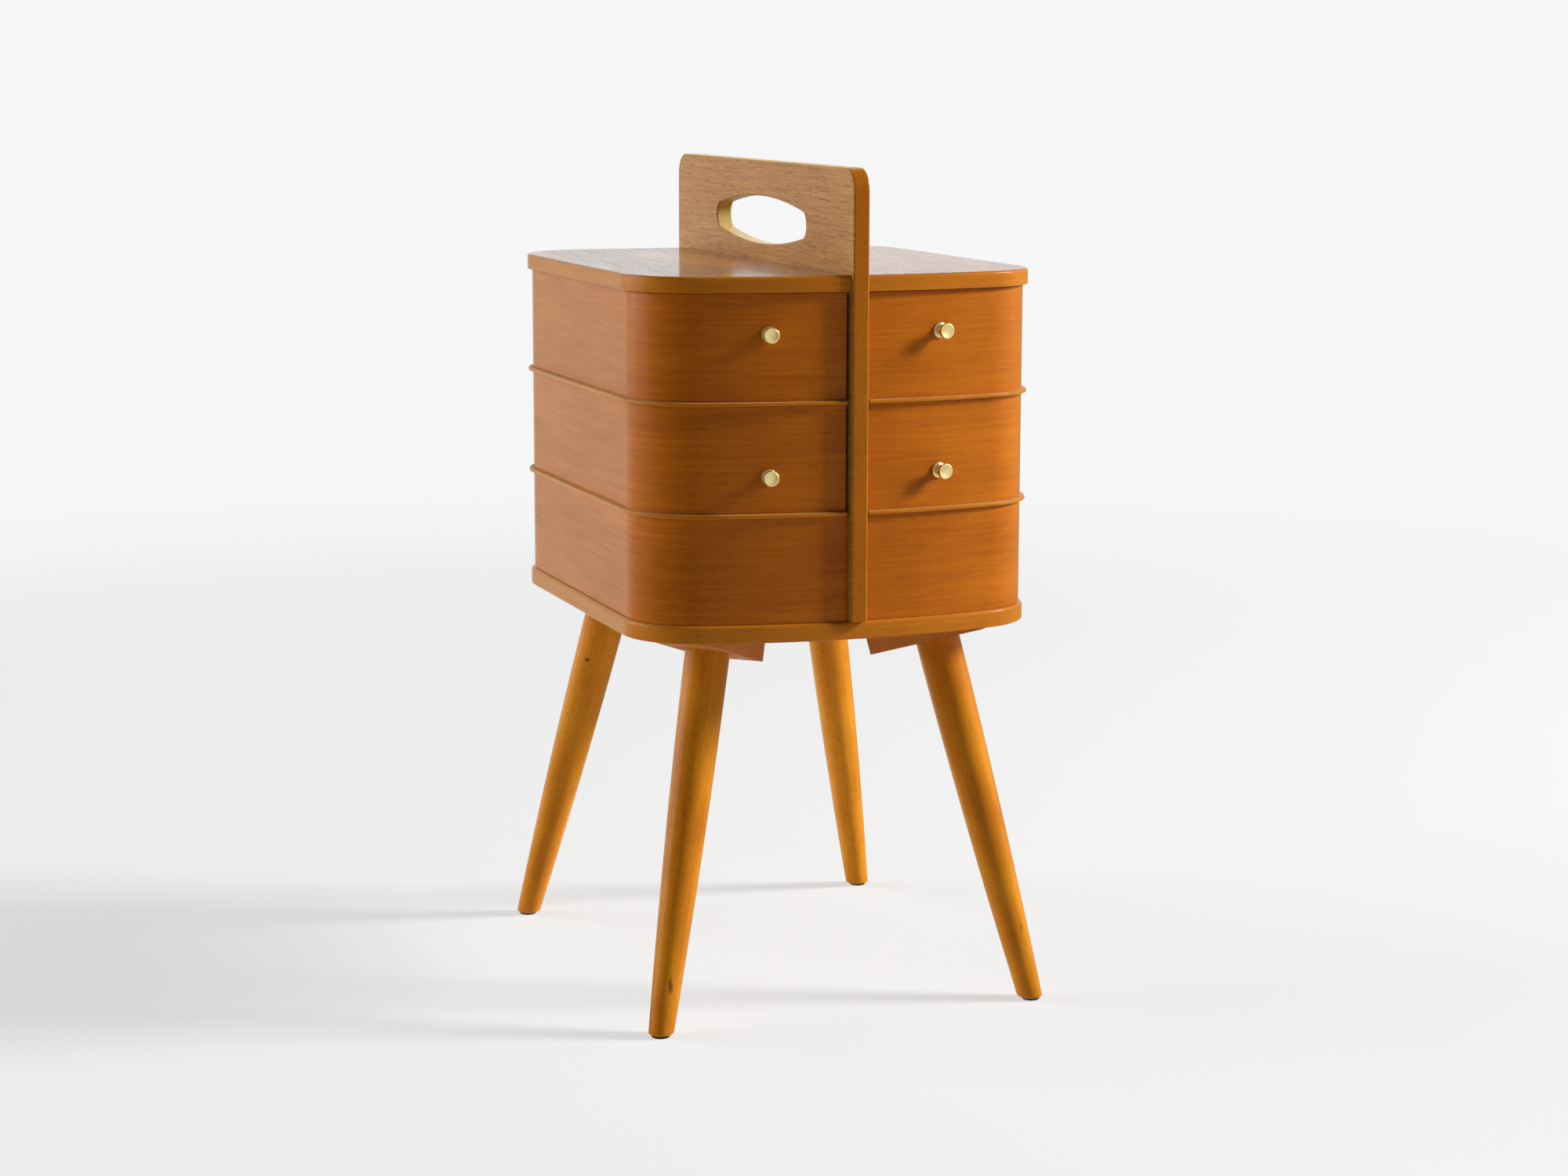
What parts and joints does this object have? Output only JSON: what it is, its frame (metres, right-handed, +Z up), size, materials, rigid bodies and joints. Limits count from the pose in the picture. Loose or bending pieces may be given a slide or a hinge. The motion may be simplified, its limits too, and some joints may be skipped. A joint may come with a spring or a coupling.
{
  "type": "sewing box on legs",
  "caption": "Bentwood sewing box on splayed round legs, with an upright handle panel through the middle and tiers of trays that swing out on each side.",
  "frame": {"origin": "on the floor under the middle of the handle panel, which is the middle of the object's box", "axes": "+Z up, +X to the right across the handle panel, and the curved front with the knobs faces -Y"},
  "size_m": [0.342, 0.439, 0.6828],
  "materials": {
    "tray_wood": "satin lacquer",
    "rim_wood": "satin lacquer",
    "lid_wood": "semi-gloss lacquer",
    "base_wood": "satin lacquer",
    "panel_wood": "satin lacquer",
    "leg_wood": "satin lacquer",
    "wedge_wood": "raw",
    "inside_wood": "raw",
    "knob_brass": "satin",
    "hinge_brass": "satin",
    "screw_steel": "satin",
    "glide_plastic": "matte"
  },
  "bodies": {
    "frame": {"base_board": "base_wood", "bottom_left_inner_side": "inside_wood", "bottom_left_wall": "tray_wood", "bottom_right_inner_side": "inside_wood", "bottom_right_wall": "tray_wood", "centre_panel": "panel_wood", "foot_glides": "glide_plastic", "hinge_pins": "screw_steel", "leg_back_left": "leg_wood", "leg_back_right": "leg_wood", "leg_front_left": "leg_wood", "leg_front_right": "leg_wood", "leg_wedge_back_left": "wedge_wood", "leg_wedge_back_right": "wedge_wood", "leg_wedge_front_left": "wedge_wood", "leg_wedge_front_right": "wedge_wood", "lid_dowels": "inside_wood", "lid_left": "lid_wood", "lid_right": "lid_wood", "middle_left_panel_leaf": "hinge_brass", "middle_right_panel_leaf": "hinge_brass", "panel_leaf_screws": "screw_steel", "panel_screws": "screw_steel", "top_left_panel_leaf": "hinge_brass", "top_right_panel_leaf": "hinge_brass", "wedge_screws": "screw_steel"},
    "top_left_tray": {"top_left_floor": "rim_wood", "top_left_hinge_block": "inside_wood", "top_left_inner_side": "inside_wood", "top_left_knob": "knob_brass", "top_left_knob_screw": "screw_steel", "top_left_tray_leaf": "hinge_brass", "top_left_tray_leaf_screws": "screw_steel", "top_left_wall": "tray_wood"},
    "top_right_tray": {"top_right_floor": "rim_wood", "top_right_hinge_block": "inside_wood", "top_right_inner_side": "inside_wood", "top_right_knob": "knob_brass", "top_right_knob_screw": "screw_steel", "top_right_tray_leaf": "hinge_brass", "top_right_tray_leaf_screws": "screw_steel", "top_right_wall": "tray_wood"},
    "middle_left_tray": {"middle_left_floor": "rim_wood", "middle_left_hinge_block": "inside_wood", "middle_left_inner_side": "inside_wood", "middle_left_knob": "knob_brass", "middle_left_knob_screw": "screw_steel", "middle_left_tray_leaf": "hinge_brass", "middle_left_tray_leaf_screws": "screw_steel", "middle_left_wall": "tray_wood"},
    "middle_right_tray": {"middle_right_floor": "rim_wood", "middle_right_hinge_block": "inside_wood", "middle_right_inner_side": "inside_wood", "middle_right_knob": "knob_brass", "middle_right_knob_screw": "screw_steel", "middle_right_tray_leaf": "hinge_brass", "middle_right_tray_leaf_screws": "screw_steel", "middle_right_wall": "tray_wood"}
  },
  "joints": [
    {"name": "top_left_swing", "type": "hinge", "parent": "frame", "child": "top_left_tray", "pos_m": [-0.00975, 0.188, 0.5448], "axis": [0, 0, -1], "range_deg": [0, 90]},
    {"name": "top_right_swing", "type": "hinge", "parent": "frame", "child": "top_right_tray", "pos_m": [0.00975, 0.188, 0.5448], "axis": [0, 0, 1], "range_deg": [0, 90]},
    {"name": "middle_left_swing", "type": "hinge", "parent": "frame", "child": "middle_left_tray", "pos_m": [-0.00975, 0.188, 0.4571], "axis": [0, 0, -1], "range_deg": [0, 90]},
    {"name": "middle_right_swing", "type": "hinge", "parent": "frame", "child": "middle_right_tray", "pos_m": [0.00975, 0.188, 0.4571], "axis": [0, 0, 1], "range_deg": [0, 90]}
  ]
}
